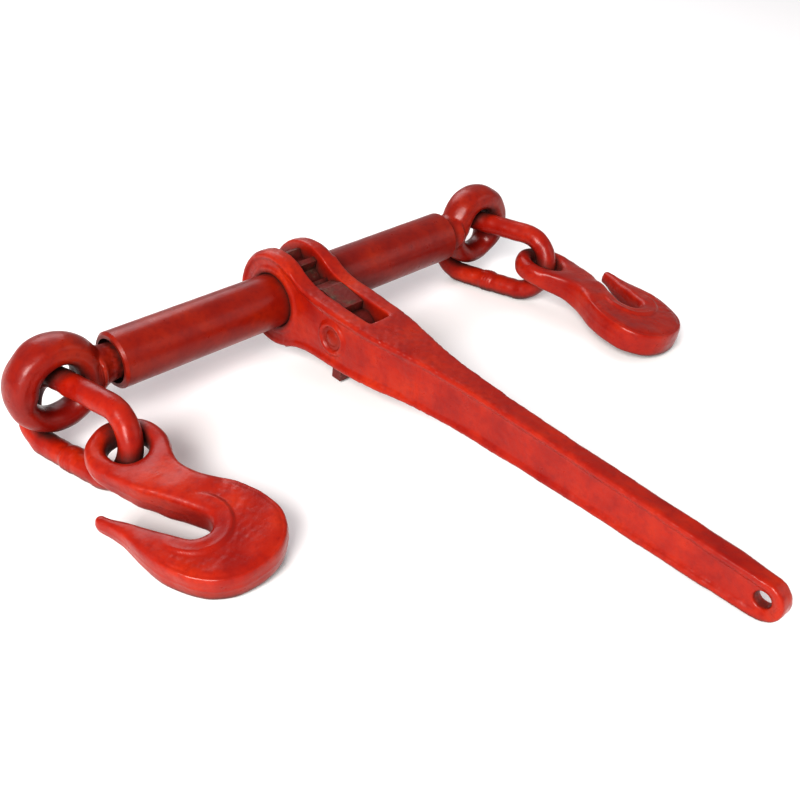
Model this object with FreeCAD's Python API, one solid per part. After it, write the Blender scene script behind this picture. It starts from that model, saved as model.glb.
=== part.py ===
import FreeCAD, Part
import math
import os

from FreeCAD import Matrix, Placement, Vector

# Ratchet load binder lying on a flat surface, in millimetres.
# The parts are first modelled about the barrel's axis, which is the X axis.
# The handle points along -Y, +Z is up, and the ends are mirror images in hand.

X_AXIS = Vector(1, 0, 0)
Y_AXIS = Vector(0, 1, 0)
Z_AXIS = Vector(0, 0, 1)
ORIGIN = Vector(0, 0, 0)

# Barrel: one tube with a left-hand and a right-hand nut thread at its ends.
BARREL_LENGTH = 254.0
BARREL_RADIUS = 16.0
BARREL_EDGE = 1.5
RELIEF_RADIUS = 11.9
MOUTH_RADIUS = 12.6
MOUTH_DEPTH = 5.0

# Screw thread of the eye bolts, four turns to the inch.
THREAD_LEAD = 6.35
SCREW_CORE_RADIUS = 8.6
SCREW_CREST_RADIUS = 11.0
THREAD_ROOT_WIDTH = 3.9
THREAD_CREST_WIDTH = 2.1
THREAD_PLAY = 0.3
THREAD_SIDE_PLAY = 0.2
THREAD_SINK = 0.5
THREAD_TURNS_OUT = 15
TRAVEL = THREAD_TURNS_OUT * THREAD_LEAD

# Eye bolts.
SCREW_START = 1.5
THREAD_START = 4.0
THREAD_TURNS = 18
NUT_TURNS = 4
NECK_START = 123.5
NECK_RADIUS = 10.4
NECK_STEP = 0.6
NECK_END = 131.0
NECK_FLARE = 2.2
NECK_OVERLAP = 2.0
SCREW_CHAMFER = 1.2
EYE_CENTRE = 160.0
EYE_MEAN_RADIUS = 20.5
EYE_HALF_DEPTH = 6.8
EYE_HALF_WIDTH = 8.6
STOP_PIN_PLACE = 5.5
STOP_PIN_RADIUS = 1.75
STOP_PIN_REACH = 11.5
NUT_START = STOP_PIN_PLACE + STOP_PIN_RADIUS + TRAVEL + 0.4

# Ratchet gear, fixed at the middle of the barrel.
GEAR_TEETH = 10
GEAR_TIP_RADIUS = 24.7
GEAR_ROOT_RADIUS = 19.5
GEAR_TIP_HALF_ANGLE = 4.2
GEAR_ROOT_HALF_ANGLE = 8.0
GEAR_HALF_WIDTH = 7.6
GEAR_PIN_RADIUS = 2.5
GEAR_PIN_DEPTH = 13.0

# Handle, modelled along -Y and then tilted down towards its tip.
HANDLE_TILT = 4.75
HEAD_RADIUS = 29.5
HEAD_HALF_WIDTH = 17.7
HEAD_EDGE = 2.5
BARREL_FIT = 0.1
SLOT_HALF_WIDTH = 8.0
SLOT_END = 72.0
SLOT_END_RADIUS = 3.0
HOLE_PLACE = 322.0
HOLE_RADIUS = 4.4
# (distance from the barrel's axis, half depth, half width) down the handle
HANDLE_STATIONS = (
    (14.0, 25.9, HEAD_HALF_WIDTH),
    (22.0, 21.6, HEAD_HALF_WIDTH),
    (31.0, 19.3, HEAD_HALF_WIDTH),
    (43.0, 18.3, HEAD_HALF_WIDTH),
    (58.0, 17.8, HEAD_HALF_WIDTH),
    (82.0, 16.8, 16.0),
    (107.0, 15.6, 11.2),
    (155.0, 14.3, 6.9),
    (235.0, 12.8, 5.4),
    (HOLE_PLACE, 10.9, 4.9),
)
# Side panels: shallow recesses with a raised rim all round.
PANEL_START = 113.0
PANEL_RIM = 3.8
PANEL_DEPTH = 1.2

# Pawl and what holds it.
PAWL_PIVOT = 52.0
PAWL_HALF_WIDTH = 7.6
PAWL_BODY_RADIUS = 11.0
PAWL_TOOTH_ANGLE = 25.8
PAWL_TOOTH_REACH = 32.7
PAWL_TOOTH_TIP_WIDTH = 3.6
PAWL_TOOTH_ROOT_WIDTH = 9.0
PAWL_TOOTH_TAPER = 9.0
PAWL_TOOTH_FOOT = 2.0
PAWL_TOOTH_SPLAY = 3.0
# (distance from the pivot, half depth) of the bridge that carries both teeth
PAWL_BRIDGE = ((2.0, 14.0), (17.0, 10.0))
PAWL_SWING = 14.7
PAWL_TAB_REACH = 34.5
PAWL_TAB_WIDTH = 7.0
PAWL_TAB_START = 1.0
PAWL_TAB_INSET = 1.5
PAWL_NOTCH_RADIUS = 3.2
PAWL_NOTCH_PLACE = 12.76
PIN_DOME_HEIGHT = 1.6
PIN_RADIUS = 4.0
PIN_FIT = 0.1
PIN_RECESS_RADIUS = 7.3
PIN_RECESS_DEPTH = 2.2
PIN_DOME_RADIUS = 5.0
WASHER_RADIUS = 6.9
WASHER_THICKNESS = 1.0

# Spring-loaded detent plunger in a blind bore behind the pawl.
DETENT_BORE_RADIUS = 4.5
DETENT_BORE_END = 101.0
PLUNGER_RADIUS = 4.3
PLUNGER_START = 63.8
PLUNGER_LENGTH = 17.0
PLUNGER_WALL = 1.2
PLUNGER_NOSE_LENGTH = 2.6
PLUNGER_NOSE_RADIUS = 1.6
PLUNGER_FLOOR = 2.0
SPRING_RADIUS = 2.3
SPRING_WIRE_RADIUS = 0.45
SPRING_PITCH = 2.4
SPRING_END_GAP = 0.05

# Links, bent from round bar.
LINK_BAR_RADIUS = 6.5
LINK_HALF_SPACING = 19.0
LINK_HALF_STRAIGHT = 20.0
LINK_LEAN = 16.0
LINK_LIFT = 4.7
LINK_PLAY = 1.3
LINK_YAW = {"left": 8.0, "right": 13.0}
WELD_RADIUS = 7.1
WELD_LENGTH = 8.0
WELD_STEP = 0.05

# Eye grab hooks.
HOOK_EYE_RADIUS = 21.0
HOOK_HOLE_RADIUS = 10.0
HOOK_EYE_HALF_THICKNESS = 6.5
HOOK_EYE_EDGE = 4.6
HOOK_PLAY = {"left": -1.4, "right": 0.0}
HOOK_HALF_THICKNESS = 9.0
HOOK_BACK_EDGE = 4.0
HOOK_SLOT_EDGE = 3.0
HOOK_DROP = {"left": 9.12, "right": 9.42}
HOOK_LEAN = {"left": -8.0, "right": 6.0}
HOOK_YAW = {"left": -1.0, "right": 5.0}
THROAT_RADIUS = 8.3
THROAT_CENTRE = Vector(-5.6, 62.0, 0)
SLOT_ANGLE = 26.0
RIM_PLACE = -24.0
RIM_LENGTH = 60.0
SHANK_REACH = 35.0
POINT_REACH = 42.0
POINT_HALF_THICKNESS = 4.5
POINT_WIDTH = Vector(-5.4, 2.0, 0)
POINT_NOSE = Vector(-3.6, -2.1, 0)
# (load direction, half thickness) where the shank thins to meet the eye
NECK_TAPER = ((11.0, HOOK_EYE_HALF_THICKNESS), (38.0, HOOK_HALF_THICKNESS))
# Outer side of the hook, from the eye round the bowl to the point.
HOOK_BACK = (
    (18.5, 8.5),
    (14.5, 18.0),
    (13.0, 28.0),
    (16.5, 38.5),
    (22.8, 48.5),
    (28.0, 58.5),
    (31.0, 70.0),
    (30.5, 81.5),
    (25.0, 92.0),
    (14.5, 98.8),
    (2.0, 100.8),
    (-10.5, 98.6),
    (-21.0, 91.5),
    (-28.0, 80.5),
    (-31.8, 67.0),
    (-32.8, 53.0),
    (-33.6, 40.0),
)
EYE_FRONT = Vector(-19.3, 8.3, 0)

SIDES = {"left": -1, "right": 1}


def cylinder_x(radius, start, end, centre_y=0.0, centre_z=0.0):
    """A cylinder along X between two stations."""
    base = Vector(start, centre_y, centre_z)
    return Part.makeCylinder(radius, end - start, base, X_AXIS)


def cone_x(radius_start, radius_end, start, end):
    """A cone along X between two stations."""
    return Part.makeCone(radius_start, radius_end, end - start, Vector(start, 0, 0), X_AXIS)


def prism_x(points, half_width):
    """A prism across X from (y, z) outline points."""
    wire = Part.makePolygon([Vector(-half_width, y, z) for y, z in points + points[:1]])
    return Part.Face(wire).extrude(Vector(2 * half_width, 0, 0))


def turned(shape, axis, angle, centre=ORIGIN):
    """A copy of a shape, turned about an axis through a centre, in degrees."""
    copy = shape.copy()
    copy.rotate(centre, axis, angle)
    return copy


def polar(radius, angle):
    """(y, z) at an angle up from the -Y direction."""
    turn = math.radians(angle)
    return (-radius * math.cos(turn), radius * math.sin(turn))


def thread(core, crest, root_width, crest_width, turns, left_handed):
    """A helical ridge about Z that starts at z = 0, with its foot sunk in the core."""
    foot = core - THREAD_SINK
    slope = (root_width - crest_width) / (crest - core)
    foot_width = root_width + slope * THREAD_SINK
    helix = Part.makeLongHelix(THREAD_LEAD, turns * THREAD_LEAD, core, 0, left_handed)
    corners = [
        Vector(foot, 0, -foot_width / 2),
        Vector(crest, 0, -crest_width / 2),
        Vector(crest, 0, crest_width / 2),
        Vector(foot, 0, foot_width / 2),
    ]
    profile = Part.makePolygon(corners + corners[:1])
    return Part.Wire(helix.Edges).makePipeShell([profile], True, True)


def thread_x(start, core, crest, root_width, crest_width, turns, left_handed):
    """The same ridge laid along X from a station."""
    ridge = thread(core, crest, root_width, crest_width, turns, left_handed)
    ridge.rotate(ORIGIN, Y_AXIS, 90)
    ridge.translate(Vector(start, 0, 0))
    return ridge


def right_end_thread(start, play, side_play, turns):
    """The left-hand thread of the +X end, drawn at the closed position."""
    return thread_x(
        start,
        SCREW_CORE_RADIUS + play,
        SCREW_CREST_RADIUS + play,
        THREAD_ROOT_WIDTH + 2 * side_play,
        THREAD_CREST_WIDTH + 2 * side_play,
        turns,
        True,
    )


def mirrored_x(shape):
    """The mirror image of a shape in the plane x = 0."""
    return shape.mirror(ORIGIN, X_AXIS)


def make_barrel():
    """Tube with a relieved middle, a nut thread near each end and open mouths."""
    half = BARREL_LENGTH / 2
    nut_end = half - MOUTH_DEPTH
    bore = SCREW_CORE_RADIUS + THREAD_PLAY
    groove_start = THREAD_START + THREAD_TURNS_OUT * THREAD_LEAD
    groove = right_end_thread(groove_start, THREAD_PLAY, THREAD_SIDE_PLAY, NUT_TURNS)
    nut = cylinder_x(BARREL_RADIUS, NUT_START, nut_end)
    nut = nut.cut(cylinder_x(bore, NUT_START - 1, nut_end + 1)).cut(groove)
    mouth = cylinder_x(BARREL_RADIUS, nut_end, half - BARREL_EDGE)
    mouth = mouth.fuse(cone_x(BARREL_RADIUS, BARREL_RADIUS - BARREL_EDGE, half - BARREL_EDGE, half))
    mouth = mouth.cut(cylinder_x(MOUTH_RADIUS, nut_end - 1, half + 1))
    tube = cylinder_x(BARREL_RADIUS, -NUT_START, NUT_START)
    tube = tube.cut(cylinder_x(RELIEF_RADIUS, -NUT_START - 1, NUT_START + 1))
    for pin in gear_pin_pair():
        tube = tube.cut(pin)
    for piece in (nut, mirrored_x(nut), mouth, mirrored_x(mouth)):
        tube = tube.fuse(piece)
    return tube


def gear_pin_pair():
    """The radial pins that key the gear to the barrel, in opposite gaps between teeth."""
    pitch = 360.0 / GEAR_TEETH
    from_top = HANDLE_TILT + pitch / 2 - 90.0 % pitch
    length = GEAR_ROOT_RADIUS - 0.5 - GEAR_PIN_DEPTH
    pin = Part.makeCylinder(GEAR_PIN_RADIUS, length, Vector(0, 0, GEAR_PIN_DEPTH), Z_AXIS)
    return [turned(pin, X_AXIS, from_top), turned(pin, X_AXIS, from_top + 180)]


def make_gear():
    """Ratchet gear with ten symmetrical teeth, one of them pointing at the pawl."""
    pitch = 360.0 / GEAR_TEETH
    outline = []
    for tooth in range(GEAR_TEETH):
        centre = tooth * pitch
        outline.append(polar(GEAR_ROOT_RADIUS, centre - GEAR_ROOT_HALF_ANGLE))
        outline.append(polar(GEAR_TIP_RADIUS, centre - GEAR_TIP_HALF_ANGLE))
        outline.append(polar(GEAR_TIP_RADIUS, centre + GEAR_TIP_HALF_ANGLE))
        outline.append(polar(GEAR_ROOT_RADIUS, centre + GEAR_ROOT_HALF_ANGLE))
    gear = prism_x(outline, GEAR_HALF_WIDTH)
    gear = turned(gear, X_AXIS, HANDLE_TILT)
    gear = gear.cut(cylinder_x(BARREL_RADIUS, -GEAR_HALF_WIDTH - 1, GEAR_HALF_WIDTH + 1))
    for pin in gear_pin_pair():
        gear = gear.cut(pin)
    return gear


def mirrored_outline(upper, lower):
    """Closed outline with a smooth curve through each side's points."""
    top = Part.BSplineCurve()
    top.interpolate(upper)
    bottom = Part.BSplineCurve()
    bottom.interpolate(lower[::-1])
    tip = Part.LineSegment(upper[-1], lower[-1])
    root = Part.LineSegment(lower[0], upper[0])
    return Part.Wire([top.toShape(), tip.toShape(), bottom.toShape(), root.toShape()])


def side_solid(half_width):
    """The handle's side view as a prism across X."""
    upper = [Vector(-half_width, -row[0], row[1]) for row in HANDLE_STATIONS]
    lower = [Vector(-half_width, -row[0], -row[1]) for row in HANDLE_STATIONS]
    face = Part.Face(mirrored_outline(upper, lower))
    return face.extrude(Vector(2 * half_width, 0, 0))


def top_solid(half_depth):
    """The handle's top view as a prism along Z."""
    upper = [Vector(row[2], -row[0], -half_depth) for row in HANDLE_STATIONS]
    lower = [Vector(-row[2], -row[0], -half_depth) for row in HANDLE_STATIONS]
    face = Part.Face(mirrored_outline(upper, lower))
    return face.extrude(Vector(0, 0, 2 * half_depth))


def handle_panel(side):
    """Shallow recess on one side of the handle, from the neck to the tip."""
    rows = [row for row in HANDLE_STATIONS if row[0] > PANEL_START - 10]
    shrunk = [(max(row[0], PANEL_START), row[1] - PANEL_RIM) for row in rows]
    outline = [(-row[0], row[1]) for row in shrunk]
    outline += [(-row[0], -row[1]) for row in reversed(shrunk)]
    blank = prism_x(outline, HEAD_HALF_WIDTH + 1)
    end = cylinder_x(shrunk[-1][1], -HEAD_HALF_WIDTH - 1, HEAD_HALF_WIDTH + 1, -HOLE_PLACE, 0)
    blank = blank.fuse(end)
    inner_rows = [(row[0], row[2] - PANEL_DEPTH) for row in rows]
    inner_rows.append((HOLE_PLACE + 2 * HOLE_RADIUS, inner_rows[-1][1]))
    web = [Vector(x, -y, -HEAD_RADIUS) for y, x in inner_rows]
    web += [Vector(-x, -y, -HEAD_RADIUS) for y, x in reversed(inner_rows)]
    core = Part.Face(Part.makePolygon(web + web[:1])).extrude(Vector(0, 0, 2 * HEAD_RADIUS))
    recess = blank.cut(core)
    reach = HOLE_PLACE + 2 * HEAD_RADIUS
    corner = Vector(min(0, side * HEAD_RADIUS), -reach, -HEAD_RADIUS)
    return recess.common(Part.makeBox(HEAD_RADIUS, reach, 2 * HEAD_RADIUS, corner))


def make_handle():
    """Forged lever with a forked head round the gear, a panelled bar and a hanging hole."""
    body = side_solid(HEAD_HALF_WIDTH).common(top_solid(HEAD_RADIUS))
    tip = cylinder_x(HANDLE_STATIONS[-1][1], -HANDLE_STATIONS[-1][2], HANDLE_STATIONS[-1][2],
                     -HOLE_PLACE, 0)
    head = cylinder_x(HEAD_RADIUS, -HEAD_HALF_WIDTH, HEAD_HALF_WIDTH)
    head = head.makeChamfer(HEAD_EDGE, [head.Edges[0], head.Edges[2]])
    handle = body.fuse([tip, head]).removeSplitter()
    slot_wall = SLOT_END - SLOT_END_RADIUS
    slot = Part.makeBox(2 * SLOT_HALF_WIDTH, HEAD_RADIUS + 1 + slot_wall, 2 * HEAD_RADIUS + 2,
                        Vector(-SLOT_HALF_WIDTH, -slot_wall, -HEAD_RADIUS - 1))
    slot_floor = Part.makeBox(2 * (SLOT_HALF_WIDTH - SLOT_END_RADIUS), SLOT_END_RADIUS + 1,
                              2 * HEAD_RADIUS + 2,
                              Vector(SLOT_END_RADIUS - SLOT_HALF_WIDTH, -SLOT_END, -HEAD_RADIUS - 1))
    handle = handle.cut(slot).cut(slot_floor)
    for side in (-1, 1):
        corner = Part.makeCylinder(SLOT_END_RADIUS, 2 * HEAD_RADIUS + 2,
                                   Vector(side * (SLOT_HALF_WIDTH - SLOT_END_RADIUS), -slot_wall,
                                          -HEAD_RADIUS - 1), Z_AXIS)
        handle = handle.cut(corner)
        handle = handle.cut(handle_panel(side))
        recess_edge = side * (HEAD_HALF_WIDTH - PIN_RECESS_DEPTH)
        outer = side * (HEAD_HALF_WIDTH + 1)
        handle = handle.cut(cylinder_x(PIN_RECESS_RADIUS, min(recess_edge, outer),
                                       max(recess_edge, outer), -PAWL_PIVOT, 0))
    reach = HEAD_HALF_WIDTH + 1
    handle = handle.cut(cylinder_x(BARREL_RADIUS + BARREL_FIT, -reach, reach))
    handle = handle.cut(cylinder_x(PIN_RADIUS + PIN_FIT, -reach, reach, -PAWL_PIVOT, 0))
    handle = handle.cut(cylinder_x(HOLE_RADIUS, -reach, reach, -HOLE_PLACE, 0))
    bore = Part.makeCylinder(DETENT_BORE_RADIUS, DETENT_BORE_END - slot_wall,
                             Vector(0, -slot_wall, 0), Vector(0, -1, 0))
    handle = handle.cut(bore)
    return turned(handle, X_AXIS, HANDLE_TILT)


def pawl_tooth(side):
    """(y, z) corners of one pawl tooth, about the pivot, at neutral."""
    tip_y = PAWL_TOOTH_REACH * math.cos(math.radians(PAWL_TOOTH_ANGLE))
    tip_z = side * PAWL_TOOTH_REACH * math.sin(math.radians(PAWL_TOOTH_ANGLE))
    half_tip = PAWL_TOOTH_TIP_WIDTH / 2
    half_root = PAWL_TOOTH_ROOT_WIDTH / 2
    foot_z = side * (abs(tip_z) - PAWL_TOOTH_SPLAY)
    return [
        (tip_y, tip_z + half_tip),
        (tip_y, tip_z - half_tip),
        (tip_y - PAWL_TOOTH_TAPER, tip_z - half_root),
        (PAWL_TOOTH_FOOT, foot_z - half_root),
        (PAWL_TOOTH_FOOT, foot_z + half_root),
        (tip_y - PAWL_TOOTH_TAPER, tip_z + half_root),
    ]


def make_pawl():
    """Reversible pawl with two teeth, a thumb tab below and a notched back."""
    pawl = cylinder_x(PAWL_BODY_RADIUS, -PAWL_HALF_WIDTH, PAWL_HALF_WIDTH)
    for side in (-1, 1):
        pawl = pawl.fuse(prism_x(pawl_tooth(side), PAWL_HALF_WIDTH))
    (back, back_depth), (front, front_depth) = PAWL_BRIDGE
    bridge = [(back, -back_depth), (back, back_depth), (front, front_depth), (front, -front_depth)]
    tab_end = PAWL_TAB_START + PAWL_TAB_WIDTH
    tab = [(PAWL_TAB_START, 0.0), (tab_end, 0.0), (tab_end, -PAWL_TAB_REACH),
           (PAWL_TAB_START, -PAWL_TAB_REACH)]
    pawl = pawl.fuse(prism_x(bridge, PAWL_HALF_WIDTH))
    pawl = pawl.fuse(prism_x(tab, PAWL_HALF_WIDTH - PAWL_TAB_INSET))
    pawl = pawl.removeSplitter()
    pawl = pawl.cut(cylinder_x(PIN_RADIUS + PIN_FIT, -PAWL_HALF_WIDTH - 1, PAWL_HALF_WIDTH + 1))
    for swing in (-PAWL_SWING, 0.0, PAWL_SWING):
        notch_y, notch_z = polar(PAWL_NOTCH_PLACE, swing)
        notch = cylinder_x(PAWL_NOTCH_RADIUS, -PAWL_HALF_WIDTH - 1, PAWL_HALF_WIDTH + 1,
                           notch_y, notch_z)
        pawl = pawl.cut(notch)
    pawl.translate(Vector(0, -PAWL_PIVOT, 0))
    return turned(pawl, X_AXIS, HANDLE_TILT)


def make_pawl_pin():
    """Riveted pin through both cheeks, with a domed end in each recess."""
    floor = HEAD_HALF_WIDTH - PIN_RECESS_DEPTH + WASHER_THICKNESS
    pin = cylinder_x(PIN_RADIUS, -floor, floor)
    sphere_radius = (PIN_DOME_RADIUS ** 2 + PIN_DOME_HEIGHT ** 2) / (2 * PIN_DOME_HEIGHT)
    for side in (-1, 1):
        centre = Vector(side * (floor + PIN_DOME_HEIGHT - sphere_radius), 0, 0)
        dome = Part.makeSphere(sphere_radius, centre)
        start = min(side * floor, side * (floor + PIN_DOME_HEIGHT))
        slab = cylinder_x(sphere_radius, start, start + PIN_DOME_HEIGHT)
        pin = pin.fuse(dome.common(slab))
    pin = pin.removeSplitter()
    pin.translate(Vector(0, -PAWL_PIVOT, 0))
    return turned(pin, X_AXIS, HANDLE_TILT)


def make_pawl_washer(side):
    """The washer under one end of the pawl pin."""
    floor = HEAD_HALF_WIDTH - PIN_RECESS_DEPTH
    inner = side * floor
    outer = side * (floor + WASHER_THICKNESS)
    start = min(inner, outer)
    washer = cylinder_x(WASHER_RADIUS, start, start + WASHER_THICKNESS)
    washer = washer.cut(cylinder_x(PIN_RADIUS, start - 1, start + WASHER_THICKNESS + 1))
    washer.translate(Vector(0, -PAWL_PIVOT, 0))
    return turned(washer, X_AXIS, HANDLE_TILT)


def make_plunger():
    """Hollow plunger with a tapered nose that drops into the pawl's notches."""
    down = Vector(0, -1, 0)
    shoulder = PLUNGER_START + PLUNGER_NOSE_LENGTH
    body = Part.makeCylinder(PLUNGER_RADIUS, PLUNGER_LENGTH, Vector(0, -shoulder, 0), down)
    nose = Part.makeCone(PLUNGER_NOSE_RADIUS, PLUNGER_RADIUS, PLUNGER_NOSE_LENGTH,
                         Vector(0, -PLUNGER_START, 0), down)
    bore = Part.makeCylinder(PLUNGER_RADIUS - PLUNGER_WALL, PLUNGER_LENGTH,
                             Vector(0, -shoulder - PLUNGER_FLOOR, 0), down)
    plunger = body.fuse(nose).removeSplitter().cut(bore)
    return turned(plunger, X_AXIS, HANDLE_TILT)


def make_spring():
    """Compression spring between the plunger and the end of its bore."""
    wire_gap = SPRING_WIRE_RADIUS + SPRING_END_GAP
    start = PLUNGER_START + PLUNGER_NOSE_LENGTH + PLUNGER_FLOOR + wire_gap
    end = DETENT_BORE_END - wire_gap
    helix = Part.makeLongHelix(SPRING_PITCH, end - start, SPRING_RADIUS, 0, False)
    ring = Part.makeCircle(SPRING_WIRE_RADIUS, Vector(SPRING_RADIUS, 0, 0), Y_AXIS)
    coil = Part.Wire(helix.Edges).makePipeShell([Part.Wire([ring])], True, True)
    coil.rotate(ORIGIN, X_AXIS, 90)
    coil.translate(Vector(0, -start, 0))
    return turned(coil, X_AXIS, HANDLE_TILT)


def make_right_eye_bolt():
    """Left-hand screw with a forged ring eye, for the +X end."""
    core = cylinder_x(SCREW_CORE_RADIUS, SCREW_START, NECK_START + 1)
    core = core.makeChamfer(SCREW_CHAMFER, core.Edges[2:3])
    ridge = right_end_thread(THREAD_START, 0.0, 0.0, THREAD_TURNS)
    neck = cone_x(NECK_RADIUS - NECK_STEP, NECK_RADIUS, NECK_START, NECK_END)
    flare_end = EYE_CENTRE - EYE_MEAN_RADIUS - NECK_OVERLAP
    flare = cone_x(NECK_RADIUS, NECK_RADIUS + NECK_FLARE, NECK_END, flare_end)
    section = Part.Ellipse(Vector(EYE_CENTRE + EYE_MEAN_RADIUS, EYE_HALF_WIDTH, 0),
                           Vector(EYE_CENTRE + EYE_MEAN_RADIUS + EYE_HALF_DEPTH, 0, 0),
                           Vector(EYE_CENTRE + EYE_MEAN_RADIUS, 0, 0))
    face = Part.Face(Part.Wire([section.toShape()]))
    ring = face.revolve(Vector(EYE_CENTRE, 0, 0), Y_AXIS, 360)
    bolt = core.fuse(ridge)
    for piece in (neck, flare, ring):
        bolt = bolt.fuse(piece)
    pin_hole = Part.makeCylinder(STOP_PIN_RADIUS, 2 * BARREL_RADIUS,
                                 Vector(STOP_PIN_PLACE, -BARREL_RADIUS, 0), Y_AXIS)
    return bolt.cut(pin_hole)


def make_right_stop_pin():
    """Cross pin that stops the screw before it leaves the barrel."""
    return Part.makeCylinder(STOP_PIN_RADIUS, 2 * STOP_PIN_REACH,
                             Vector(STOP_PIN_PLACE, -STOP_PIN_REACH, 0), Y_AXIS)


def link_frame(side_name):
    """Placement of a link lying through its eye: local +X runs away from the eye."""
    side = SIDES[side_name]
    lean = math.radians(LINK_LEAN)
    yaw = math.radians(LINK_YAW[side_name])
    up = Vector(math.sin(lean), 0, math.cos(lean))
    bar = Vector(side * EYE_CENTRE, 0, 0) - up * (EYE_MEAN_RADIUS - LINK_LIFT)
    away = Vector(math.sin(yaw), -math.cos(yaw), 0)
    normal = up.cross(away)
    normal.normalize()
    across = away.cross(normal)
    centre = bar + away * (LINK_HALF_STRAIGHT + LINK_PLAY)
    frame = Matrix(away.x, across.x, -normal.x, centre.x,
                   away.y, across.y, -normal.y, centre.y,
                   away.z, across.z, -normal.z, centre.z,
                   0, 0, 0, 1)
    return Placement(frame)


def make_link(side_name):
    """Oval link of round bar with the weld on its lower leg."""
    reach = LINK_HALF_STRAIGHT
    half = LINK_HALF_SPACING
    path = Part.Wire([
        Part.LineSegment(Vector(-reach, half, 0), Vector(reach, half, 0)).toShape(),
        Part.Arc(Vector(reach, half, 0), Vector(reach + half, 0, 0), Vector(reach, -half, 0)).toShape(),
        Part.LineSegment(Vector(reach, -half, 0), Vector(-reach, -half, 0)).toShape(),
        Part.Arc(Vector(-reach, -half, 0), Vector(-reach - half, 0, 0),
                 Vector(-reach, half, 0)).toShape(),
    ])
    circle = Part.makeCircle(LINK_BAR_RADIUS, Vector(-reach, half, 0), X_AXIS)
    link = path.makePipeShell([Part.Wire([circle])], True, True)
    weld = cylinder_x(WELD_RADIUS, -WELD_LENGTH / 2, WELD_LENGTH / 2, -half, 0)
    bead = WELD_RADIUS - LINK_BAR_RADIUS - WELD_STEP
    weld = weld.makeChamfer(bead, [weld.Edges[0], weld.Edges[2]])
    link = link.fuse(weld)
    link.Placement = link_frame(side_name)
    return link


def slot_side(side):
    """Where one side of the throat leaves its round end, and the way it runs to the mouth."""
    turn = math.radians(SLOT_ANGLE)
    along = Vector(-math.sin(turn), -math.cos(turn), 0)
    across = Vector(side * math.cos(turn), -side * math.sin(turn), 0)
    return THROAT_CENTRE + across * THROAT_RADIUS, along


def hook_outline():
    """Hook outline in its own plane: +Y is the load direction, the point is on -X."""
    shank_start, way = slot_side(1)
    point_start = slot_side(-1)[0]
    throat_end = THROAT_CENTRE - way * THROAT_RADIUS
    shank_top = shank_start + way * SHANK_REACH
    tip_inner = point_start + way * POINT_REACH
    tip_end = tip_inner + POINT_NOSE
    tip_outer = tip_inner + POINT_WIDTH
    back = Part.BSplineCurve()
    back.interpolate([Vector(x, y, 0) for x, y in HOOK_BACK] + [tip_outer])
    return Part.Wire([
        back.toShape(),
        Part.Arc(tip_outer, tip_end, tip_inner).toShape(),
        Part.LineSegment(tip_inner, point_start).toShape(),
        Part.Arc(point_start, throat_end, shank_start).toShape(),
        Part.LineSegment(shank_start, shank_top).toShape(),
        Part.LineSegment(shank_top, EYE_FRONT).toShape(),
        Part.LineSegment(EYE_FRONT, Vector(*HOOK_BACK[0], 0)).toShape(),
    ])


def point_taper(side):
    """Wedge that thins one face of the hook's point towards its tip."""
    way = slot_side(1)[1]
    across = Vector(way.y, -way.x, 0)
    reach = POINT_REACH + 8.0
    slope = (HOOK_HALF_THICKNESS - POINT_HALF_THICKNESS) / POINT_REACH
    top = Vector(0, 0, side * HOOK_HALF_THICKNESS)
    corners = [
        THROAT_CENTRE + top,
        THROAT_CENTRE + way * reach + top - Vector(0, 0, side * slope * reach),
        THROAT_CENTRE + way * reach + top * 2,
        THROAT_CENTRE + top * 2,
    ]
    face = Part.Face(Part.makePolygon(corners + corners[:1]))
    return face.extrude(across * 50)


def neck_taper(side):
    """Wedge that thins one face of the shank down to the eye."""
    (thin_place, thin), (thick_place, thick) = NECK_TAPER
    corners = [
        Vector(-HOOK_EYE_RADIUS * 2, -HOOK_EYE_RADIUS * 2, side * thin),
        Vector(-HOOK_EYE_RADIUS * 2, thin_place, side * thin),
        Vector(-HOOK_EYE_RADIUS * 2, thick_place, side * thick),
        Vector(-HOOK_EYE_RADIUS * 2, thick_place, side * thick * 2),
        Vector(-HOOK_EYE_RADIUS * 2, -HOOK_EYE_RADIUS * 2, side * thick * 2),
    ]
    face = Part.Face(Part.makePolygon(corners + corners[:1]))
    return face.extrude(Vector(HOOK_EYE_RADIUS * 4, 0, 0))


def in_slot(edge):
    """Whether an edge of the hook's blank is one of the long rims of its throat."""
    middle = edge.CenterOfMass
    near = (middle - THROAT_CENTRE).Length < SHANK_REACH
    inside = middle.x < 0 and abs(middle.z) > POINT_HALF_THICKNESS - 1
    return near and inside and 2 * THROAT_RADIUS < edge.Length < RIM_LENGTH and middle.x > RIM_PLACE


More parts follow.
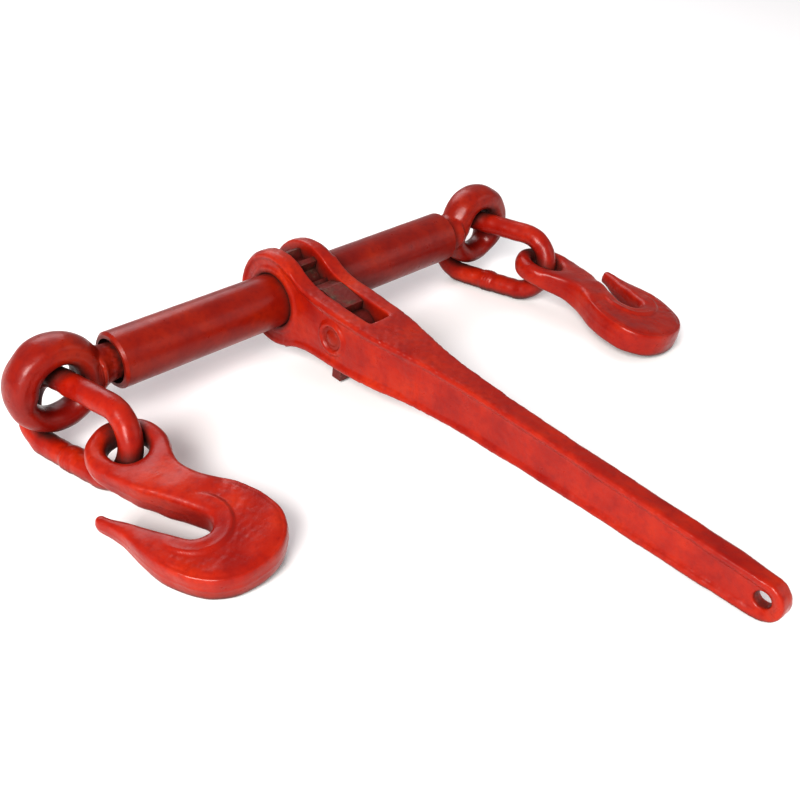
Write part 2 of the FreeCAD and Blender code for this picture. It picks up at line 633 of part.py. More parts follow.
def make_hook(side_name):
    """Forged eye grab hook: fat bowl, narrow throat, and an eye for the link."""
    body = Part.Face(hook_outline()).extrude(Vector(0, 0, 2 * HOOK_HALF_THICKNESS))
    body.translate(Vector(0, 0, -HOOK_HALF_THICKNESS))
    body = body.cut(point_taper(1)).cut(point_taper(-1))
    back = [edge for edge in body.Edges if edge.Length > 2 * POINT_REACH
            and abs(edge.CenterOfMass.z) > 1]
    body = body.makeFillet(HOOK_BACK_EDGE, back)
    slot = [edge for edge in body.Edges if in_slot(edge)]
    body = body.makeFillet(HOOK_SLOT_EDGE, slot)
    eye_blank = Part.makeCylinder(HOOK_EYE_RADIUS, 2 * HOOK_EYE_HALF_THICKNESS,
                                  Vector(0, 0, -HOOK_EYE_HALF_THICKNESS), Z_AXIS)
    hole = Part.makeCylinder(HOOK_HOLE_RADIUS, 2 * HOOK_HALF_THICKNESS,
                             Vector(0, 0, -HOOK_HALF_THICKNESS), Z_AXIS)
    eye_blank = eye_blank.cut(hole)
    rims = [edge for edge in eye_blank.Edges if abs(edge.CenterOfMass.z) > 1]
    eye_blank = eye_blank.makeFillet(HOOK_EYE_EDGE, rims)
    over_eye = Part.makeCylinder(HOOK_HOLE_RADIUS + HOOK_EYE_EDGE, 2 * HOOK_HALF_THICKNESS,
                                 Vector(0, 0, -HOOK_HALF_THICKNESS), Z_AXIS)
    body = body.cut(neck_taper(1)).cut(neck_taper(-1))
    hook = body.cut(over_eye).fuse(eye_blank).removeSplitter()
    # the load direction becomes -Y, and the point faces away from the barrel's middle
    hook.rotate(ORIGIN, Z_AXIS, 180)
    if side_name == "left":
        hook.rotate(ORIGIN, Y_AXIS, 180)
    hook.rotate(ORIGIN, X_AXIS, HOOK_DROP[side_name])
    hook.rotate(ORIGIN, Y_AXIS, HOOK_LEAN[side_name])
    hook.rotate(ORIGIN, Z_AXIS, HOOK_YAW[side_name])
    reach = LINK_HALF_STRAIGHT + LINK_HALF_SPACING + HOOK_PLAY[side_name]
    end = link_frame(side_name).multVec(Vector(reach, 0, 0))
    hook.translate(end)
    return hook


def build():
    """Every node by name, in the barrel's frame."""
    right_bolt = make_right_eye_bolt()
    right_stop = make_right_stop_pin()
    front_pin, rear_pin = gear_pin_pair()
    nodes = {
        "handle": make_handle(),
        "barrel": make_barrel(),
        "ratchet_gear": make_gear(),
        "front_gear_pin": front_pin,
        "rear_gear_pin": rear_pin,
        "pawl": make_pawl(),
        "pawl_pin": make_pawl_pin(),
        "detent_plunger": make_plunger(),
        "detent_spring": make_spring(),
        "right_eye_bolt": right_bolt,
        "left_eye_bolt": mirrored_x(right_bolt),
        "right_stop_pin": right_stop,
        "left_stop_pin": mirrored_x(right_stop),
    }
    for side_name, side in SIDES.items():
        nodes[side_name + "_pawl_washer"] = make_pawl_washer(side)
        nodes[side_name + "_link"] = make_link(side_name)
        nodes[side_name + "_hook"] = make_hook(side_name)
    return nodes


def main():
    nodes = build()
    box = FreeCAD.BoundBox()
    for shape in nodes.values():
        box.add(shape.optimalBoundingBox(False, False))
    # the origin is the middle of the box's bottom face
    shift = Vector(-box.Center.x, -box.Center.y, -box.ZMin)
    os.makedirs("parts", exist_ok=True)
    for name, shape in nodes.items():
        shape.translate(shift)
        shape.exportStep("parts/" + name + ".step")
    print("shift", shift, "box", box)


main()
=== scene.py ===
import math

import bmesh
import bpy
import numpy as np
from mathutils import Euler, Matrix, Vector


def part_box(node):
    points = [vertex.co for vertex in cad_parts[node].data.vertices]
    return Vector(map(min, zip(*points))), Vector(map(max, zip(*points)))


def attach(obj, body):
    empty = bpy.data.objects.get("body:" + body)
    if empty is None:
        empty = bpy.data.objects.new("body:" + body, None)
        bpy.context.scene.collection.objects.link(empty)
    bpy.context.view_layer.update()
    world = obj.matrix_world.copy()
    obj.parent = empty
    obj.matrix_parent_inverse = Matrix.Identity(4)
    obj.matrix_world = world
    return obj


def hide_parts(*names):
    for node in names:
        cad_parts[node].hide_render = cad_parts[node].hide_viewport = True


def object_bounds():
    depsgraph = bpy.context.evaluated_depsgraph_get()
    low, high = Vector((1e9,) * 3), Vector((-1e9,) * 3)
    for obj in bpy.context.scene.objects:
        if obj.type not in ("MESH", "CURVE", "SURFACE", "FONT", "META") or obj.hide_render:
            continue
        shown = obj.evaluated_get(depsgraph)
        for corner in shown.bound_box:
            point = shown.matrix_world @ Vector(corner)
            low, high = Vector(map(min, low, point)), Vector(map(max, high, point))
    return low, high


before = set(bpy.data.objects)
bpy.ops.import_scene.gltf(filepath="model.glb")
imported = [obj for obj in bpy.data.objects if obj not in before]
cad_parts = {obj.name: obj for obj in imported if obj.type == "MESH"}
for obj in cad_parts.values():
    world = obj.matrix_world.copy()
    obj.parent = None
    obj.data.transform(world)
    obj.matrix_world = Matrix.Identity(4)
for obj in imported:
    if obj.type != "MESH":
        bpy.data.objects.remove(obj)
cad_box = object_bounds()

# Ratchet load binder on a pale floor. Objects are in metres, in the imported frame.
# Shape rules work in millimetres, about the barrel's centre, along X.
MM = 0.001
SIDES = {"left": -1, "right": 1}
BARREL_LOW, BARREL_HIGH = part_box("barrel")
AXIS = (BARREL_LOW + BARREL_HIGH) / (2 * MM)
BARREL_RADIUS = (BARREL_HIGH.z - BARREL_LOW.z) / (2 * MM)

# Handle. Each depth is (distance from the barrel's axis, half depth of the side view).
HANDLE_TILT = 4.75
HANDLE_DEPTHS = (
    (14, 25.9), (22, 21.6), (31, 19.3), (43, 18.3), (58, 17.8),
    (82, 16.8), (107, 15.6), (155, 14.3), (235, 12.8), (322, 10.9),
)
HEAD_RADIUS = 29.5
SLOT_HALF_WIDTH = 8.0
PAWL_PIVOT = 52.0
PANEL_START = 113.0
HOLE_PLACE = 322.0

# Relief on the handle's forging. Pairs are where a step starts and where it is full.
TRAY_DEPTH = 1.1
TRAY_EDGE = (3.2, 5.4)
TRAY_END = PANEL_START - 3.0
TRAY_ROUND_BARREL = (3.6, 5.6)
PIVOT_PAD = (9.6, 11.2)
PIVOT_RING_RADIUS = 8.6
PIVOT_RING_HEIGHT = 0.35
RIM_PLACE = 1.9
RIM_HEIGHT = 0.45
PANEL_DEEPER = 0.40
PANEL_EDGE = (2.8, 4.2)
# past BAR_START every side wall is an outer one, and walls near the slot keep no waves before SMOOTH_SLOT_END
BAR_START = PANEL_START - 14.0
SMOOTH_SLOT_END = 104.0

# Links and hooks, as the CAD places them.
EYE_CENTRE = 160.0
EYE_MEAN_RADIUS = 20.5
NECK_CUT = 121.0
NECK_OVERLAP = 0.5
LINK_HALF_SPACING = 19.0
LINK_HALF_STRAIGHT = 20.0
LINK_LEAN = 16.0
LINK_LIFT = 4.7
LINK_PLAY = 1.3
LINK_YAW = {"left": 8.0, "right": 13.0}
HOOK_PLAY = {"left": -1.4, "right": 0.0}
HOOK_DROP = {"left": 9.12, "right": 9.42}
HOOK_LEAN = {"left": -8.0, "right": 6.0}
HOOK_YAW = {"left": -1.0, "right": 5.0}
THROAT_CENTRE = (-5.6, 62.0)

# Relief on the rings, links and hooks. RING_WIDER is a share of the ring's half width.
RING_WIDER = 0.24
BORE_INWARD = 1.6
BORE_SQUARER = 2.6
COLLAR = (-33.0, -25.0)
WELD_HALF_LENGTH = 5.0
WELD_RIPPLE_PITCH = 2.0
CRESCENT_RADIUS = 16.6
CRESCENT_HEIGHT = 0.30
BOWL_LOWERED = 0.95
PARTING_HEIGHT = 0.16

# Camera's place from the barrel's centre, in metres, and its turn about X, Y and Z in degrees.
CAMERA_FROM_BARREL = Vector((-0.3872, -0.4572, 0.3030))
CAMERA_TURN = (57.703, -2.604, -44.995)

# Voxel sizes for the forged skins, in metres.
HANDLE_VOXEL = 0.00078
HOOK_VOXEL = 0.0008
BAR_VOXEL = 0.0007

# Smoothing rounds for each skin.
HANDLE_ROUNDS = 14
RING_ROUNDS = 7
RING_FINISH_ROUNDS = 4
LINK_ROUNDS = 6
HOOK_ROUNDS = 52


# ---------------------------------------------------------------- frames

def turn(angle, axis):
    return Matrix.Rotation(math.radians(angle), 4, axis)


def handle_frame():
    """Handle's own frame: -Y runs down the handle, Z across its depth."""
    return Matrix.Translation(AXIS) @ turn(HANDLE_TILT, "X")


def eye_frame(side_name):
    """Eye's frame: +X runs out along the screw from the ring's centre."""
    side = SIDES[side_name]
    centre = AXIS + Vector((side * EYE_CENTRE, 0, 0))
    return Matrix.Translation(centre) @ Matrix.Scale(side, 4, (1, 0, 0))


def link_frame(side_name):
    """Link's frame: +X runs away from the eye, in the plane of the oval."""
    side = SIDES[side_name]
    lean = math.radians(LINK_LEAN)
    yaw = math.radians(LINK_YAW[side_name])
    up = Vector((math.sin(lean), 0, math.cos(lean)))
    away = Vector((math.sin(yaw), -math.cos(yaw), 0))
    normal = up.cross(away).normalized()
    across = away.cross(normal)
    bar = AXIS + Vector((side * EYE_CENTRE, 0, 0)) - up * (EYE_MEAN_RADIUS - LINK_LIFT)
    centre = bar + away * (LINK_HALF_STRAIGHT + LINK_PLAY)
    columns = Matrix((away, across, -normal)).transposed().to_4x4()
    return Matrix.Translation(centre) @ columns


def hook_frame(side_name):
    """Hook's frame: +Y is the load direction and the point lies on -X."""
    reach = LINK_HALF_STRAIGHT + LINK_HALF_SPACING + HOOK_PLAY[side_name]
    end = link_frame(side_name) @ Vector((reach, 0, 0))
    lie = turn(HOOK_YAW[side_name], "Z") @ turn(HOOK_LEAN[side_name], "Y") @ turn(HOOK_DROP[side_name], "X")
    flip = turn(180, "Y") if side_name == "left" else Matrix.Identity(4)
    return Matrix.Translation(end) @ lie @ flip @ turn(180, "Z")


# ---------------------------------------------------------------- mesh tools

def ease(low, high, value):
    """0 below low, 1 above high, and a smooth step between."""
    t = np.clip((value - low) / (high - low), 0.0, 1.0)
    return t * t * (3 - 2 * t)


def bump_at(value, centre, width):
    """1 at centre, falling smoothly to 0 either side."""
    return np.exp(-((value - centre) / width) ** 2)


def uneven(points, seed, longest, shortest, amount):
    """Gentle random waves, like a hammered or cast surface."""
    rng = np.random.RandomState(seed)
    waves = 20
    total = np.zeros(len(points))
    for _ in range(waves):
        way = rng.normal(size=3)
        way /= np.linalg.norm(way)
        length = shortest + (longest - shortest) * rng.random_sample() ** 1.5
        total += np.sin(points @ way * (2 * math.pi / length) + rng.uniform(0, 2 * math.pi))
    return total * amount / math.sqrt(waves / 2)


def node_copy(node, name, cut=None):
    """A welded copy of a CAD node's mesh. cut = (x in mm, side to keep) caps it there."""
    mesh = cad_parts[node].data.copy()
    mesh.name = name
    mesh.materials.clear()
    work = bmesh.new()
    work.from_mesh(mesh)
    bmesh.ops.remove_doubles(work, verts=work.verts, dist=1e-7)
    if cut:
        place, keep = cut
        geometry = work.verts[:] + work.edges[:] + work.faces[:]
        point = Vector((place * MM, 0, 0))
        facing = Vector((keep, 0, 0))
        bmesh.ops.bisect_plane(work, geom=geometry, plane_co=point, plane_no=facing, clear_inner=True)
        rim = [edge for edge in work.edges if edge.is_boundary]
        bmesh.ops.holes_fill(work, edges=rim)
    work.to_mesh(mesh)
    work.free()
    piece = bpy.data.objects.new(name, mesh)
    bpy.context.scene.collection.objects.link(piece)
    return piece


def reskin(piece, voxel, rounds, lie):
    """Replaces a piece's mesh by a fine closed skin with softened edges.
    lie is the piece's own frame, which the skin's grid lines up with."""
    turned = lie.to_3x3().to_4x4()
    piece.data.transform(turned.inverted())
    remesh = piece.modifiers.new("skin", "REMESH")
    remesh.mode = "VOXEL"
    remesh.voxel_size = voxel
    soften(piece, rounds)
    piece.data.transform(turned)
    shade_smooth(piece)


def soften(piece, rounds):
    """Smooths a piece's mesh, and applies whatever modifiers it has."""
    smoother = piece.modifiers.new("soften", "SMOOTH")
    smoother.factor = 0.5
    smoother.iterations = rounds
    graph = bpy.context.evaluated_depsgraph_get()
    mesh = bpy.data.meshes.new_from_object(piece.evaluated_get(graph))
    piece.modifiers.clear()
    piece.data = mesh


def shade_smooth(piece):
    """Smooth shading on every face."""
    piece.data.polygons.foreach_set("use_smooth", [True] * len(piece.data.polygons))
    piece.data.update()


def push(piece, place, rule):
    """Moves each vertex along its normal by rule(points, normals), in mm in a local frame.
    No vertex leaves the object's box."""
    mesh = piece.data
    count = len(mesh.vertices)
    points = np.empty(count * 3, np.float32)
    normals = np.empty(count * 3, np.float32)
    mesh.vertices.foreach_get("co", points)
    mesh.vertex_normals.foreach_get("vector", normals)
    points = points.reshape(-1, 3).astype(float)
    normals = normals.reshape(-1, 3).astype(float)
    inverse = np.array(place.inverted())
    local = (points / MM) @ inverse[:3, :3].T + inverse[:3, 3]
    facing = normals @ inverse[:3, :3].T
    shift = rule(local, facing)
    points = np.clip(points + normals * shift[:, None] * MM, *np.array(cad_box))
    mesh.vertices.foreach_set("co", points.astype(np.float32).ravel())
    mesh.update()


# ---------------------------------------------------------------- materials

def material_tree(name):
    """A new material's node tree, its Principled shader and its object coordinates."""
    material = bpy.data.materials.new(name)
    material.use_nodes = True
    tree = material.node_tree
    tree.nodes.clear()
    output = tree.nodes.new("ShaderNodeOutputMaterial")
    shader = tree.nodes.new("ShaderNodeBsdfPrincipled")
    tree.links.new(shader.outputs["BSDF"], output.inputs["Surface"])
    place = tree.nodes.new("ShaderNodeTexCoord").outputs["Object"]
    return material, tree, shader, place


def noise(tree, place, size_mm, detail=3.0, roughness=0.55):
    """Noise whose features are about size_mm across."""
    node = tree.nodes.new("ShaderNodeTexNoise")
    tree.links.new(place, node.inputs["Vector"])
    node.inputs["Scale"].default_value = 1.0 / (size_mm * MM)
    node.inputs["Detail"].default_value = detail
    node.inputs["Roughness"].default_value = roughness
    return node.outputs["Fac"]


def ramp(tree, factor, *stops):
    """Colour ramp through (place, colour) stops."""
    node = tree.nodes.new("ShaderNodeValToRGB")
    elements = node.color_ramp.elements
    while len(elements) < len(stops):
        elements.new(0.5)
    for element, (at, colour) in zip(elements, stops):
        element.position = at
        element.color = (*colour, 1.0)
    tree.links.new(factor, node.inputs["Fac"])
    return node.outputs["Color"]


def grey_ramp(tree, factor, *stops):
    """Ramp through (place, grey value) stops."""
    return ramp(tree, factor, *[(at, (value,) * 3) for at, value in stops])


def mixed(tree, factor, base, over):
    """base where factor is 0, over where it is 1. over may be a plain colour."""
    node = tree.nodes.new("ShaderNodeMix")
    node.data_type = "RGBA"
    tree.links.new(factor, node.inputs["Factor"])
    tree.links.new(base, node.inputs["A"])
    if isinstance(over, tuple):
        node.inputs["B"].default_value = (*over, 1.0)
    else:
        tree.links.new(over, node.inputs["B"])
    return node.outputs["Result"]


def math_node(tree, operation, first, second):
    """A Math node whose inputs are sockets or plain numbers."""
    node = tree.nodes.new("ShaderNodeMath")
    node.operation = operation
    for socket, value in zip(node.inputs, (first, second)):
        if isinstance(value, (int, float)):
            socket.default_value = value
        else:
            tree.links.new(value, socket)
    return node.outputs["Value"]


def bump(tree, shader, layers):
    """Chains bump layers of (height, depth in mm)."""
    normal = None
    for height, depth in layers:
        node = tree.nodes.new("ShaderNodeBump")
        node.inputs["Strength"].default_value = 1.0
        node.inputs["Distance"].default_value = depth * MM
        tree.links.new(height, node.inputs["Height"])
        if normal:
            tree.links.new(normal, node.inputs["Normal"])
        normal = node.outputs["Normal"]
    tree.links.new(normal, shader.inputs["Normal"])


def crevices(tree, reach_mm, low, high):
    """1 in corners and recesses, 0 on open surfaces."""
    node = tree.nodes.new("ShaderNodeAmbientOcclusion")
    node.samples = 8
    node.inputs["Distance"].default_value = reach_mm * MM
    return grey_ramp(tree, node.outputs["AO"], (low, 1.0), (high, 0.0))


def edges(tree, low, high):
    """1 on convex edges of a fine mesh."""
    node = tree.nodes.new("ShaderNodeNewGeometry")
    return grey_ramp(tree, node.outputs["Pointiness"], (low, 0.0), (high, 1.0))


def red_enamel(name, shade=1.0, worn_edges=True, cast_depth=0.10):
    """Thick red enamel over forged steel, with dirt and painted shade in the corners, and deeper painted
    shade in hollows and under or near other parts. shade under 1 is darker: a darker copy of the same enamel,
    as painted shade.
    """

    # every red colour times shade; under 1 this is painted shade
    def red(*colour):
        return tuple(part * shade for part in colour)

    material, tree, shader, place = material_tree(name)
    broad = noise(tree, place, 26.0, 2.0)
    colour = ramp(
        tree, broad,
        (0.30, red(0.21, 0.005, 0.0015)), (0.52, red(0.29, 0.011, 0.002)), (0.74, red(0.36, 0.020, 0.002)),
    )
    mottle = grey_ramp(tree, noise(tree, place, 3.4, 4.0), (0.46, 0.0), (0.72, 0.45))
    colour = mixed(tree, mottle, colour, red(0.165, 0.003, 0.003))
    if worn_edges:
        patchy = grey_ramp(tree, noise(tree, place, 5.0, 3.0), (0.35, 0.0), (0.62, 0.75))
        rub = math_node(tree, "MULTIPLY", edges(tree, 0.53, 0.60), patchy)
        colour = mixed(tree, rub, colour, red(0.48, 0.055, 0.022))
    # painted shade: deep maroon in hollows and under or beside other parts and the floor, from ambient
    # occlusion
    deep_painted_shade = math_node(tree, "MULTIPLY", crevices(tree, 34.0, 0.10, 0.66), 0.85)
    colour = mixed(tree, deep_painted_shade, colour, (0.080, 0.003, 0.002))
    # dark brown in tight corners and recesses, broken by noise: dirt and painted shade together, and rougher
    # there
    grime_and_shade = crevices(tree, 9.0, 0.34, 0.84)
    broken = grey_ramp(tree, noise(tree, place, 2.2, 4.0), (0.30, 0.55), (0.60, 1.0))
    grime_and_shade = math_node(tree, "MULTIPLY", grime_and_shade, broken)
    colour = mixed(tree, grime_and_shade, colour, (0.050, 0.010, 0.007))
    tree.links.new(colour, shader.inputs["Base Color"])
    gloss = grey_ramp(tree, noise(tree, place, 8.0, 5.0), (0.30, 0.26), (0.70, 0.44))
    rough = mixed(tree, grime_and_shade, gloss, (0.75, 0.75, 0.75))
    tree.links.new(rough, shader.inputs["Roughness"])
    shader.inputs["Specular IOR Level"].default_value = 0.24
    shader.inputs["Coat Weight"].default_value = 0.10
    shader.inputs["Coat Roughness"].default_value = 0.22
    orange_peel = noise(tree, place, 4.5, 3.0)
    grain = noise(tree, place, 0.9, 2.0)
    bump(tree, shader, [(orange_peel, cast_depth * 3), (grain, cast_depth * 0.4)])
    return material


def dark_cast(name):
    """Dark oiled steel with brown grease and rubbed tooth edges, near-black in the recesses from dirt and
    painted shade.
    """
    material, tree, shader, place = material_tree(name)
    colour = ramp(
        tree, noise(tree, place, 5.0, 5.0, 0.65),
        (0.32, (0.018, 0.010, 0.007)), (0.52, (0.060, 0.036, 0.022)), (0.72, (0.135, 0.085, 0.050)),
    )
    rubbed = grey_ramp(tree, noise(tree, place, 1.8, 3.0), (0.52, 0.0), (0.70, 0.7))
    colour = mixed(tree, rubbed, colour, (0.20, 0.15, 0.105))
    painted = grey_ramp(tree, noise(tree, place, 9.0, 3.0), (0.34, 0.15), (0.52, 0.90))
    colour = mixed(tree, painted, colour, (0.150, 0.010, 0.008))
    # near-black in the recesses between teeth and parts: dirt and painted shade together
    colour = mixed(tree, crevices(tree, 6.0, 0.25, 0.8), colour, (0.020, 0.006, 0.005))
    tree.links.new(colour, shader.inputs["Base Color"])
    shader.inputs["Metallic"].default_value = 0.35
    rough = grey_ramp(tree, noise(tree, place, 3.0, 4.0), (0.3, 0.36), (0.7, 0.62))
    tree.links.new(rough, shader.inputs["Roughness"])
    bump(tree, shader, [(noise(tree, place, 2.2, 4.0), 0.22), (noise(tree, place, 0.5, 2.0), 0.05)])
    return material


def bright_steel(name, light, grain_mm, greasy):
    """Turned or drawn steel, with fine marks and grease in the roots."""
    material, tree, shader, place = material_tree(name)
    stretch = tree.nodes.new("ShaderNodeMapping")
    stretch.inputs["Scale"].default_value = (4.0, 1.0, 1.0)
    tree.links.new(place, stretch.inputs["Vector"])
    fine = noise(tree, stretch.outputs["Vector"], grain_mm, 4.0, 0.6)
    dull = tuple(0.62 * part for part in light)
    colour = ramp(tree, fine, (0.32, dull), (0.66, light))
    if greasy:
        colour = mixed(tree, crevices(tree, 2.5, 0.35, 0.92), colour, (0.035, 0.022, 0.012))
    tree.links.new(colour, shader.inputs["Base Color"])
    shader.inputs["Metallic"].default_value = 0.92
    rough = grey_ramp(tree, noise(tree, place, 2.4, 4.0), (0.3, 0.27), (0.7, 0.46))
    tree.links.new(rough, shader.inputs["Roughness"])
    bump(tree, shader, [(fine, 0.03)])
    return material


enamel = red_enamel("red_enamel_forging")
# painted shade: the rings get the same red enamel made darker
shaded_enamel_ring = red_enamel("red_enamel_ring_shaded", shade=0.76)
# painted shade: the barrel, pawl pin and washers get the same red enamel made darker still
shaded_enamel_tube = red_enamel("red_enamel_tube_shaded", shade=0.70, worn_edges=False, cast_depth=0.05)
cast = dark_cast("dark_cast_steel")
screw_steel = bright_steel("greased_screw_steel", (0.42, 0.40, 0.37), 0.9, True)
pin_steel = bright_steel("bright_pin_steel", (0.56, 0.55, 0.53), 0.5, False)


def finish_piece(piece, material, body, slot, *nodes):
    """Gives a piece its material and the body it rides on, and hides the CAD nodes it stands for."""
    piece.data.materials.clear()
    piece.data.materials.append(material)
    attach(piece, body)
    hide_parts(*nodes)


def paint_node(node, material):
    """Gives a CAD node that is shown as it is a better material."""
    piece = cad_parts[node]
    if not piece.material_slots:
        piece.data.materials.append(material)
    for holder in piece.material_slots:
        holder.material = material


# ---------------------------------------------------------------- handle

def handle_relief(points, normals):
    """Rimmed cheeks, a boss round the barrel, a ring round the pivot and a panelled bar."""
    x, y, z = points.T
    down = -y
    depth = np.interp(down, *np.array(HANDLE_DEPTHS, float).T)
    radius = np.hypot(y, z)
    from_pivot = np.hypot(down - PAWL_PIVOT, z)
    outer_wall = ease(SLOT_HALF_WIDTH + 1, SLOT_HALF_WIDTH + 2, np.abs(x))
    outer_wall = np.where(down > BAR_START, 1.0, outer_wall)
    on_side = ease(0.55, 0.85, np.abs(normals[:, 0])) * outer_wall
    # how far a point is inside the outline of the side view
    bar_edge = np.where(down > 0, depth - np.abs(z), -50.0)
    margin = np.maximum(HEAD_RADIUS - radius, bar_edge)
    tray = ease(*TRAY_EDGE, margin) * ease(*TRAY_ROUND_BARREL, radius - BARREL_RADIUS)
    tray *= ease(*PIVOT_PAD, from_pivot) * (1 - ease(BAR_START, TRAY_END, down))
    ring = bump_at(from_pivot, PIVOT_RING_RADIUS, 1.1)
    shift = -TRAY_DEPTH * tray * on_side + PIVOT_RING_HEIGHT * ring * on_side
    # the rim stands up a little along the upper and lower edges
    rim = bump_at(margin, RIM_PLACE, 1.6) * ease(BARREL_RADIUS + 6, BARREL_RADIUS + 9, radius)
    shift += RIM_HEIGHT * rim * on_side * (1 - ease(HOLE_PLACE - 8, HOLE_PLACE, down))
    shaft = ease(BAR_START, PANEL_START + 8, down) * (1 - ease(HOLE_PLACE - 24, HOLE_PLACE - 12, down))
    shift -= PANEL_DEEPER * ease(*PANEL_EDGE, margin) * shaft * on_side
    outside = ease(BARREL_RADIUS + 1.2, BARREL_RADIUS + 3.0, radius)
    near_slot = (np.abs(x) < SLOT_HALF_WIDTH + 0.9) & (down < SMOOTH_SLOT_END)
    slot_wall = near_slot & (np.abs(normals[:, 0]) > 0.3)
    waves = uneven(points, 11, 48.0, 18.0, 0.09) + uneven(points, 12, 8.0, 3.5, 0.04)
    return shift + waves * outside * np.where(slot_wall, 0.0, 1.0)


handle = node_copy("handle", "handle_forging")
reskin(handle, HANDLE_VOXEL, HANDLE_ROUNDS, handle_frame())
push(handle, handle_frame(), handle_relief)
finish_piece(handle, enamel, "handle", "red_enamel", "handle")


# ---------------------------------------------------------------- eyes, links and hooks

def eye_relief(side):
    """Hammered ring with a rough collar and a thick, squarer bore. side is -1 for left, 1 for right."""
    lean = math.radians(LINK_LEAN)

    def relief(points, normals):
        x, y, z = points.T
        radius = np.maximum(np.hypot(x, z), 1.0)
        # 1 at the lower limb, where the link bears and the ring stays as the CAD has it
        below = -(side * x * math.sin(lean) + z * math.cos(lean)) / radius
        free = 1 - ease(0.15, 0.75, below)
        collar = 1 - ease(*COLLAR, x)
        on_ring = (1 - ease(23.0, 31.0, radius)) * ease(-27.0, -16.0, x)
        inward = np.clip(-(x * normals[:, 0] + z * normals[:, 2]) / radius, 0.0, 1.0)
        sideways = np.abs(normals[:, 1])
        wide = RING_WIDER * np.abs(y) * sideways + BORE_INWARD * inward + BORE_SQUARER * inward * sideways
        waves = uneven(points, 21, 26.0, 10.0, 0.14)
        rough = uneven(points, 22, 5.0, 2.0, 0.16) * collar
        return wide * free * on_ring + waves * (1 - 0.6 * collar) + rough

    return relief


def link_relief(points, normals):
    """Round bar with a rippled weld in the middle of its lower leg."""
    x, y, z = points.T
    weld = bump_at(x, 0.0, WELD_HALF_LENGTH) * ease(8.0, 12.0, -y)
    ripple = np.cos(2 * math.pi * (x + 0.6 * np.sin(z)) / WELD_RIPPLE_PITCH)
    return weld * (0.14 * ripple - 0.10) + uneven(points, 31, 20.0, 7.0, 0.12)


def hook_relief(points, normals):
    """Raised crescent round the throat, a rough band on the bowl and a parting line."""
    x, y, z = points.T
    throat = np.hypot(x - THROAT_CENTRE[0], y - THROAT_CENTRE[1])
    eye = np.hypot(x, y)
    flat = ease(0.55, 0.9, np.abs(normals[:, 2]))
    bowl = ease(50.0, 60.0, y + 0.45 * x)
    lowered = ease(17.2, 18.8, throat) * bowl
    band = ease(18.5, 21.0, throat) * (1 - ease(26.0, 31.0, throat)) * bowl
    rough = 0.08 * uneven(points, 41, 6.0, 2.4, 1.0) * band
    crescent = CRESCENT_HEIGHT * bump_at(throat, CRESCENT_RADIUS, 1.2) * bowl
    shift = (-BOWL_LOWERED * lowered + rough + crescent) * flat
    outer = ease(15.0, 18.0, eye) * ease(12.0, 15.0, throat)
    parting = bump_at(z, 0.0, 0.8) * (1 - flat) * outer
    return shift + PARTING_HEIGHT * parting + uneven(points, 42, 30.0, 12.0, 0.13)


for side_name, side in SIDES.items():
    # the screw and the ring overlap a little inside the neck
    inner = AXIS.x + side * (NECK_CUT + NECK_OVERLAP)
    outer = AXIS.x + side * (NECK_CUT - NECK_OVERLAP)
    bolt = side_name + "_eye_bolt"
    body = side_name + "_eye"

    screw = node_copy(bolt, side_name + "_screw", (inner, -side))
    finish_piece(screw, screw_steel, body, "screw_steel", bolt)

    ring = node_copy(bolt, side_name + "_ring_eye", (outer, side))
    reskin(ring, BAR_VOXEL, RING_ROUNDS, Matrix.Identity(4))
    push(ring, eye_frame(side_name), eye_relief(side))
    soften(ring, RING_FINISH_ROUNDS)
    finish_piece(ring, shaded_enamel_ring, body, "red_enamel", bolt)

    link = node_copy(side_name + "_link", side_name + "_link_bar")
    reskin(link, BAR_VOXEL, LINK_ROUNDS, link_frame(side_name))
    push(link, link_frame(side_name), link_relief)
    finish_piece(link, enamel, side_name + "_link", "red_enamel", side_name + "_link")

    hook = node_copy(side_name + "_hook", side_name + "_hook_forging")
    reskin(hook, HOOK_VOXEL, HOOK_ROUNDS, hook_frame(side_name))
    push(hook, hook_frame(side_name), hook_relief)
    finish_piece(hook, enamel, side_name + "_hook", "red_enamel", side_name + "_hook")


# ---------------------------------------------------------------- CAD nodes kept as they are

for node, material in (
    ("barrel", shaded_enamel_tube),
    ("ratchet_gear", cast),
    ("pawl", cast),
    ("pawl_pin", shaded_enamel_tube),
    ("left_pawl_washer", shaded_enamel_tube),
    ("right_pawl_washer", shaded_enamel_tube),
    ("front_gear_pin", pin_steel),
    ("rear_gear_pin", pin_steel),
    ("detent_spring", pin_steel),
    ("detent_plunger", screw_steel),
    ("left_stop_pin", screw_steel),
    ("right_stop_pin", screw_steel),
):
    paint_node(node, material)


# ---------------------------------------------------------------- floor, lights and camera

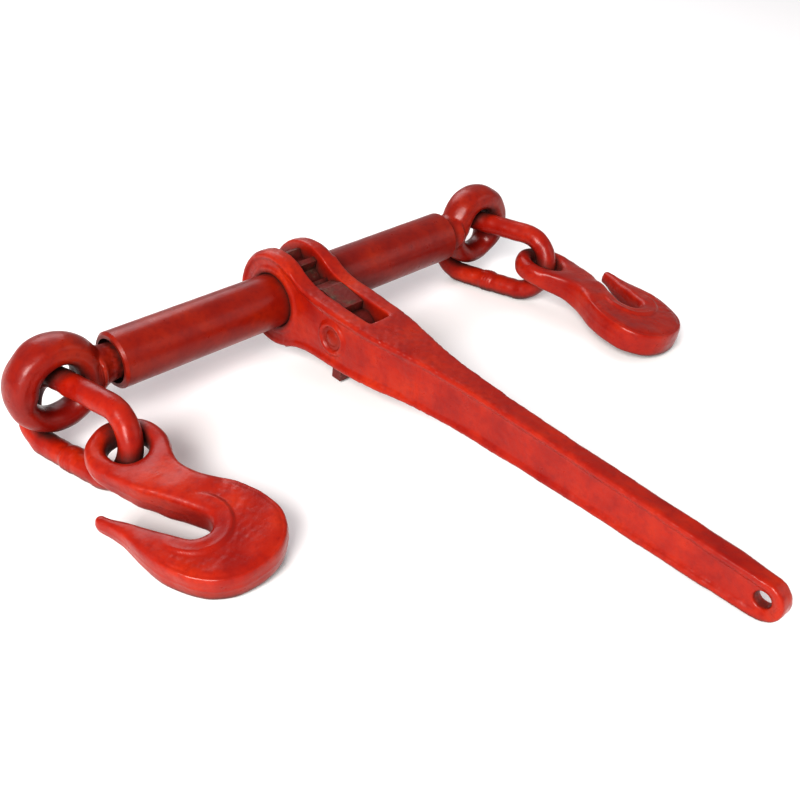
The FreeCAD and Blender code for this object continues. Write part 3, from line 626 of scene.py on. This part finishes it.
def make_floor():
    """A wide pale floor at the height the object rests on."""
    half = 6.0
    mesh = bpy.data.meshes.new("floor")
    work = bmesh.new()
    places = ((-half, -half), (half, -half), (half, half), (-half, half))
    corners = [work.verts.new((x, y, 0.0)) for x, y in places]
    work.faces.new(corners)
    work.to_mesh(mesh)
    work.free()
    floor = bpy.data.objects.new("floor", mesh)
    bpy.context.scene.collection.objects.link(floor)
    material, _, shader, _ = material_tree("pale_floor")
    shader.inputs["Base Color"].default_value = (0.93, 0.93, 0.93, 1.0)
    shader.inputs["Roughness"].default_value = 0.9
    shader.inputs["Specular IOR Level"].default_value = 0.1
    mesh.materials.append(material)


def area_light(name, place, target, size, watts, colour):
    """A square soft box at place, in metres, that faces target."""
    light = bpy.data.lights.new(name, "AREA")
    light.size = size
    light.energy = watts
    light.color = colour
    lamp = bpy.data.objects.new(name, light)
    lamp.location = place
    lamp.rotation_euler = (Vector(target) - Vector(place)).to_track_quat("-Z", "Y").to_euler()
    bpy.context.scene.collection.objects.link(lamp)


def soft_sky():
    """An even, nearly white light from all round."""
    world = bpy.data.worlds.new("soft_sky")
    world.use_nodes = True
    background = world.node_tree.nodes["Background"]
    background.inputs["Color"].default_value = (1.0, 0.985, 0.99, 1.0)
    background.inputs["Strength"].default_value = 0.38
    bpy.context.scene.world = world


make_floor()
soft_sky()
middle = (0.0, 0.05, 0.03)
area_light("key", (-1.6, -0.7, 1.15), middle, 1.0, 66.0, (1.0, 0.97, 0.94))
area_light("side", (1.4, -1.4, 1.0), middle, 1.2, 5.0, (1.0, 0.98, 0.98))
area_light("back", (0.5, 1.6, 1.3), middle, 1.2, 14.0, (0.98, 0.96, 1.0))

camera_data = bpy.data.cameras.new("camera")
camera_data.lens = 50.0
camera_data.sensor_width = 36.0
camera_data.clip_start = 0.01
camera = bpy.data.objects.new("camera", camera_data)
camera.location = CAMERA_FROM_BARREL + AXIS * MM
camera.rotation_euler = Euler([math.radians(angle) for angle in CAMERA_TURN])
bpy.context.scene.collection.objects.link(camera)
bpy.context.scene.camera = camera
bpy.context.scene.view_settings.view_transform = "Standard"
bpy.context.scene.view_settings.look = "Medium High Contrast"
